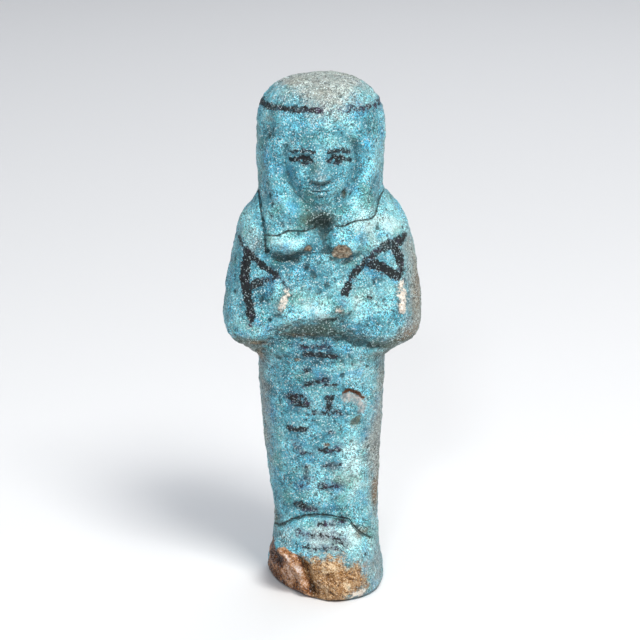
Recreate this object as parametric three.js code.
// An ushabti: a mummy-shaped funerary figurine of faience, pressed in a one-piece mould and
// smoothed by hand at the back. It wears a plain tripartite wig, its arms are crossed on the
// chest with both fists showing, and its feet stand forward on a flat sole. The front corner of
// its right foot is broken off. It is one solid piece.
//
// Units are millimetres. +Z is up, the figure faces -Y and its own right is towards -X. Its
// sizes are given from an upright axis through the body, and the finished solid is moved so
// that the origin is on the sole, under the middle of its bounding box.

import * as THREE from "three";

const { smoothstep, lerp } = THREE.MathUtils;

// ---- The plain body: [height, distance from the axis], from the sole to the wig ----

const figureHeight = 90;

const rightSide = [
  [0, 10.5], [3, 9.9], [7, 8.7], [12, 8.4], [20, 9.4], [30, 10.5], [39, 11.1], [41.6, 11.5],
  [43, 13.5], [44.2, 15.6], [46, 16.8], [50.5, 17.0], [57, 16.1], [62.5, 14.8], [66, 13.8],
  [68, 12.2], [69.4, 11.2], [74, 11.2], [80, 11.3], [87, 11.7],
];
const leftSide = [
  [0, 11.0], [3, 10.6], [8, 9.9], [20, 9.9], [30, 10.4], [39, 10.9], [41.7, 11.2],
  [42.9, 13.1], [44.1, 15.4], [46, 16.7], [49.5, 17.1], [55, 16.6], [62, 15.3], [66.3, 13.9],
  [68.4, 12.2], [69.6, 10.8], [75, 10.4], [80, 10.8], [87, 10.9],
];
const frontSide = [
  [0, 14.6], [4, 14.3], [8, 12.7], [12, 9.7], [15, 8.5], [26, 8.7], [38, 9.2], [42, 9.6],
  [46, 10.4], [52, 10.6], [60, 10.1], [68, 9.4], [78, 9.7], [87, 10.0],
];
const backSide = [
  [0, 10.0], [8, 9.2], [18, 8.7], [30, 9.3], [42, 10.4], [54, 10.1], [68, 9.2], [87, 9.3],
];

// How square a section is: 2 is an ellipse, and more is squarer.
const frontSquareness = [[0, 2.6], [12, 2.5], [20, 2.3], [55, 2.4], [70, 2.2], [87, 2.1]];
const backSquareness = [[0, 2.7], [20, 2.5], [55, 2.6], [70, 2.2], [87, 2.1]];

const soleEdgeRadius = 0.9;

// From domeStart up, the wig closes over as a flattened dome.
const domeStart = 78;
const domeRise = 3.0;
const domeRound = 2.6;

// ---- Carving on the front, in the figure's own x and z ----

// The two front lappets of the wig. A gap parts them, and each stands proud of the chest.
const lappet = { proud: 1.2, edge: 2.2, corner: 1.6, gapAt: -0.2, gapHalf: 0.5, fadeFrom: 66, fadeTo: 77 };
const rightLappet = { topZ: 70, topX: 11.1, footZ: 60.9, footX: 10.1 };
const leftLappet = { topZ: 70, topX: 10.7, footZ: 59.9, footX: 7.7 };
const throat = { x: -0.2, z: 66.0, halfWidth: 4.0, halfHeight: 2.6, depth: 0.9 };

// The wig's opening for the face: an egg that narrows to the chin.
const opening = { x: -0.3, z: 77.2, halfWidth: 6.6, above: 6.4, below: 9.2, edge: 1.4, groove: 0.5 };

// The face is a calm one on the classical canon: hairline to brow, brow to nose base and nose
// base to chin are each a third of it. It is five eyes wide, with one eye's width between them.
const hairline = opening.z + opening.above;
const chin = opening.z - opening.below + 0.6;
const faceThird = (hairline - chin) / 3;
const eyeWidth = (2 * opening.halfWidth) / 5;
const face = {
  brow: hairline - faceThird,
  noseBase: chin + faceThird,
  mouth: chin + (faceThird * 2) / 3,
  forehead: 9.7,
  reach: 9.9,
  turnWidth: 7.6,
  turnDepth: 5.6,
};

// Arms and fists are round rolls laid on the body: x and z of both ends, the half-width and how
// far the roll stands out. The right forearm lies on top of the left one.
const rightForearm = { from: [-14.6, 47.4], to: [2.4, 52.4], halfWidth: 3.6, proud: 1.3 };
const leftForearm = { from: [14.4, 47.4], to: [-6.0, 53.4], halfWidth: 3.6, proud: 0.9 };
const rightFist = { from: [1.4, 52.2], to: [2.8, 52.6], halfWidth: 3.0, proud: 1.8 };
const leftFist = { from: [-6.0, 53.6], to: [-7.0, 54.2], halfWidth: 2.9, proud: 1.5 };
const rightUpperArm = { from: [-12.6, 64], to: [-14.2, 48], halfWidth: 3.4, proud: 0.7 };
const leftUpperArm = { from: [12.9, 64], to: [14.2, 48], halfWidth: 3.4, proud: 0.7 };
const rollBlend = 0.5;

// Two creases run across the front: under the arms, and over the instep where the feet leave
// the wrappings. Each is an arch, lower at the sides, and one side of it stands proud.
const waist = { x: -0.5, z: 46.0, drop: 0.012, depth: 0.3, width: 0.9, proud: 0.5 };
const ankle = { x: -1.0, z: 14.1, drop: 0.058, depth: 0.35, width: 1.1, proud: 0.5 };

// The break that took the front corner of the right foot: all of the foot beyond this radius
// from an upright line is gone. The radius grows until the break runs out through the skin, and
// a hollow half-way up makes the broken face a bite.
const footBreak = { x: 11.7, y: 4.5, radius: 21.6, grow: 2.4, top: 9, hollow: 0.7, hollowZ: 4.6 };

const wigBackEdge = { z: 60.5, proud: 0.6, width: 1.4 };

// ---- The grid of the faceted solid ----

const frontColumns = 40;
const backColumns = 16;
// The grid steps by distance round a section, but distance from front to back counts for less.
const depthWeight = 0.45;
const rowBands = [
  { to: 0.9, rows: 3 }, { to: 7, rows: 5 }, { to: 15, rows: 10 }, { to: 40, rows: 12 },
  { to: 47, rows: 9 }, { to: 66, rows: 17 }, { to: 86, rows: 24 },
];
const crownRings = 6;

// A smooth curve through [height, value] points, as a function of height.
function curveThrough(points) {
  const curve = new THREE.CubicInterpolant(points.map((p) => p[0]), points.map((p) => p[1]), 1);
  const last = points[points.length - 1][0];
  return (z) => curve.evaluate(Math.min(z, last))[0];
}

const body = {
  right: curveThrough(rightSide),
  left: curveThrough(leftSide),
  front: curveThrough(frontSide),
  back: curveThrough(backSide),
  frontPower: curveThrough(frontSquareness),
  backPower: curveThrough(backSquareness),
};

// The share of its full width that a section keeps at a height, as the crown closes over.
function domeShare(z) {
  const t = Math.max(0, (z - domeStart) / (figureHeight - domeStart));
  return (1 - t ** domeRise) ** (1 / domeRound);
}

// The height at which the crown's section keeps that share.
function domeHeight(share) {
  const t = (1 - share ** domeRound) ** (1 / domeRise);
  return lerp(domeStart, figureHeight, t);
}

// How far the rounded edge of the sole draws a section in.
function soleInset(z) {
  const below = Math.max(0, soleEdgeRadius - z);
  return soleEdgeRadius - Math.sqrt(soleEdgeRadius ** 2 - below ** 2);
}

// Points along the front or back half of a section, from the figure's right to its left.
function halfSection(z, share, depth, power, count) {
  const inset = soleInset(z);
  const right = (body.right(z) - inset) * share;
  const left = (body.left(z) - inset) * share;
  const reach = (depth - inset) * share;
  const fine = [];
  for (let angle = -90; angle <= 90; angle++) {
    const across = Math.sin((angle * Math.PI) / 180);
    const x = Math.sign(across) * Math.abs(across) ** (2 / power) * (across < 0 ? right : left);
    fine.push(new THREE.Vector2(x, Math.max(0, Math.cos((angle * Math.PI) / 180)) ** (2 / power) * reach));
  }
  const travelled = [0];
  for (let i = 1; i < fine.length; i++) {
    const step = fine[i].clone().sub(fine[i - 1]);
    travelled.push(travelled[i - 1] + Math.hypot(step.x, step.y * depthWeight));
  }
  const points = [];
  for (let k = 0, i = 0; k <= count; k++) {
    const goal = (travelled[fine.length - 1] * k) / count;
    while (i < fine.length - 2 && travelled[i + 1] < goal) i++;
    const part = (goal - travelled[i]) / (travelled[i + 1] - travelled[i]);
    points.push(fine[i].clone().lerp(fine[i + 1], Math.min(1, part)));
  }
  return points;
}

// A soft step from 0 to 1 as a distance passes 0.
const softStep = (distance, width) => smoothstep(distance, -width / 2, width / 2);

// A round bump: 1 at the middle, 0 where the squared distance reaches 1.
const bump = (squared) => (squared < 1 ? (1 - squared) ** 2 : 0);

// A groove of depth 1 along the line where a distance is 0.
const groove = (distance, width) => Math.exp(-((distance / width) ** 2));

// The greater of two heights, with the corner between them filled.
function softMax(a, b, blend) {
  const h = Math.max(blend - Math.abs(a - b), 0) / blend;
  return Math.max(a, b) + (h * h * blend) / 4;
}

// How far a round roll laid on the body stands out at a point.
function rollHeight(x, z, { from, to, halfWidth, proud }) {
  const run = [to[0] - from[0], to[1] - from[1]];
  const t = ((x - from[0]) * run[0] + (z - from[1]) * run[1]) / (run[0] ** 2 + run[1] ** 2);
  const near = Math.min(1, Math.max(0, t));
  const away = Math.hypot(x - from[0] - near * run[0], z - from[1] - near * run[1]);
  return proud * Math.sqrt(Math.max(0, 1 - (away / halfWidth) ** 2));
}

// How far the wig's lappets stand out at a point.
function lappetHeight(x, z) {
  const side = x < lappet.gapAt ? rightLappet : leftLappet;
  const fromGap = Math.abs(x - lappet.gapAt) - lappet.gapHalf;
  const t = Math.max(0, (z - side.footZ) / (side.topZ - side.footZ));
  const fromEdge = lerp(side.footX, side.topX, t) - Math.abs(x);
  const inside = -softMax(-fromGap, softMax(-fromEdge, side.footZ - z, lappet.corner), lappet.corner);
  return lappet.proud * smoothstep(inside, 0, lappet.edge) * (1 - smoothstep(z, lappet.fadeFrom, lappet.fadeTo));
}

// Distance from a point into the wig's opening, negative outside it.
function intoOpening(x, z) {
  const up = z - opening.z;
  const across = (x - opening.x) / opening.halfWidth;
  return (1 - Math.hypot(across, up / (up > 0 ? opening.above : opening.below))) * opening.halfWidth;
}

// The reach of the face in front of the axis.
function faceReach(x, z) {
  const across = x - opening.x;
  const side = Math.abs(across);
  const turn = Math.min(1, side / face.turnWidth);
  let reach = lerp(face.reach, face.forehead, smoothstep(z, face.brow, hairline));
  reach -= face.turnDepth * (1 - Math.sqrt(1 - turn ** 2));
  // Eye sockets under the brow.
  const eyeZ = face.brow - 0.6 * eyeWidth;
  reach -= 0.7 * bump(((side - eyeWidth) / 2.4) ** 2 + ((z - eyeZ) / 1.7) ** 2);
  reach += 0.4 * bump(((side - eyeWidth) / 1.5) ** 2 + ((z - eyeZ) / 1.1) ** 2);
  // The nose widens and rises towards its tip.
  const down = (face.brow - z) / (face.brow - face.noseBase);
  const ridge = smoothstep(down, -0.1, 0.9) * (1 - smoothstep(down, 0.9, 1.2));
  reach += 1.6 * ridge * bump((across / lerp(1.5, 2.2, ridge)) ** 2);
  // Cheeks, lips and chin.
  reach += 0.4 * bump(((side - 3.3) / 2.6) ** 2 + ((z - face.noseBase) / 2.8) ** 2);
  reach += 0.7 * bump((across / 3.2) ** 2 + ((z - face.mouth) / 1.8) ** 2);
  reach += 0.7 * bump((across / 3.4) ** 2 + ((z - chin - 1.2) / 2.0) ** 2);
  return reach;
}

// Distance of a point above an arched crease.
const aboveCrease = (x, z, crease) => z - crease.z + crease.drop * (x - crease.x) ** 2;

// The reach of the carved front where the plain body's reach is given.
function carvedReach(x, z, plain) {
  let reach = plain + lappetHeight(x, z);
  const inside = intoOpening(x, z);
  reach = lerp(reach, faceReach(x, z), softStep(inside, opening.edge));
  reach -= opening.groove * groove(inside, 0.8) * (1 - smoothstep(z, opening.z, hairline));
  reach -= throat.depth * bump(((x - throat.x) / throat.halfWidth) ** 2 + ((z - throat.z) / throat.halfHeight) ** 2);

  const rolls = [rightUpperArm, leftUpperArm, leftForearm, leftFist, rightForearm, rightFist];
  const aboveWaist = aboveCrease(x, z, waist);
  const arms = rolls.reduce((height, roll) => softMax(height, rollHeight(x, z, roll), rollBlend), 0);
  reach += (arms + waist.proud * (1 - smoothstep(z, 50, 58))) * softStep(aboveWaist - 0.4, waist.width);
  reach -= waist.depth * groove(aboveWaist, waist.width);

  const aboveAnkle = aboveCrease(x, z, ankle);
  reach += ankle.proud * (1 - softStep(aboveAnkle, ankle.width)) * smoothstep(z, 3, 9);
  return reach - ankle.depth * groove(aboveAnkle, ankle.width);
}

// Moves a point of the plain body to where the carving and the break put it.
function carve(point, isFront) {
  if (isFront) {
    const plain = -point.y;
    // The carving dies out where the front turns into the side.
    const share = smoothstep(plain, 0, 5);
    point.y = -lerp(plain, carvedReach(point.x, point.z, plain), share);
  } else {
    const share = smoothstep(point.y, 1, 6) * domeShare(point.z);
    point.y += wigBackEdge.proud * softStep(point.z - wigBackEdge.z, wigBackEdge.width) * share;
  }
  const fromLine = new THREE.Vector3(point.x - footBreak.x, point.y - footBreak.y, 0);
  const hollow = footBreak.hollow * bump(((point.z - footBreak.hollowZ) / footBreak.hollowZ) ** 2);
  const limit = footBreak.radius + footBreak.grow * smoothstep(point.z, 1, footBreak.top) - hollow;
  const past = fromLine.length() - limit;
  if (past > 0 && point.z < footBreak.top) point.addScaledVector(fromLine.normalize(), -past);
  return point;
}

// One closed ring of points round the figure, anticlockwise seen from above.
function ring(z, share) {
  const front = halfSection(z, share, body.front(z), body.frontPower(z), frontColumns);
  const back = halfSection(z, share, body.back(z), body.backPower(z), backColumns);
  const frontPoints = front.map((p) => carve(new THREE.Vector3(p.x, -p.y, z), true));
  const backPoints = back.slice(1, -1).map((p) => carve(new THREE.Vector3(p.x, p.y, z), false));
  return [...frontPoints, ...backPoints.reverse()];
}

function ushabtiGeometry() {
  const heights = [0];
  for (const { to, rows } of rowBands) {
    const from = heights[heights.length - 1];
    for (let i = 1; i <= rows; i++) heights.push(lerp(from, to, i / rows));
  }
  const rings = heights.map((z) => ring(z, domeShare(z)));
  const crownShare = domeShare(heights[heights.length - 1]);
  for (let i = crownRings; i >= 1; i--) {
    const share = (crownShare * i) / (crownRings + 1);
    rings.push(ring(domeHeight(share), share));
  }

  const around = rings[0].length;
  const points = [...rings.flat(), new THREE.Vector3(0, 0, 0), new THREE.Vector3(0, 0, figureHeight)];
  const soleCentre = points.length - 2;
  const crownCentre = points.length - 1;
  const lastRing = (rings.length - 1) * around;
  const triangles = [];
  for (let j = 0; j < around; j++) {
    const next = (j + 1) % around;
    for (let row = 0; row < lastRing; row += around) {
      triangles.push(row + j, row + next, row + around + next);
      triangles.push(row + j, row + around + next, row + around + j);
    }
    triangles.push(soleCentre, next, j);
    triangles.push(crownCentre, lastRing + j, lastRing + next);
  }

  const box = new THREE.Box3().setFromPoints(points);
  const origin = box.getCenter(new THREE.Vector3()).setZ(0);
  points.forEach((point) => point.sub(origin));

  const geometry = new THREE.BufferGeometry().setFromPoints(points);
  geometry.setIndex(triangles);
  geometry.computeVertexNormals();
  return geometry;
}

const faience = new THREE.MeshStandardMaterial({ color: 0x5fb3c6, roughness: 0.5, metalness: 0 });

const ushabti = new THREE.Mesh(ushabtiGeometry(), faience);
ushabti.name = "ushabti";

const figurine = new THREE.Group();
figurine.add(ushabti);

export default figurine;
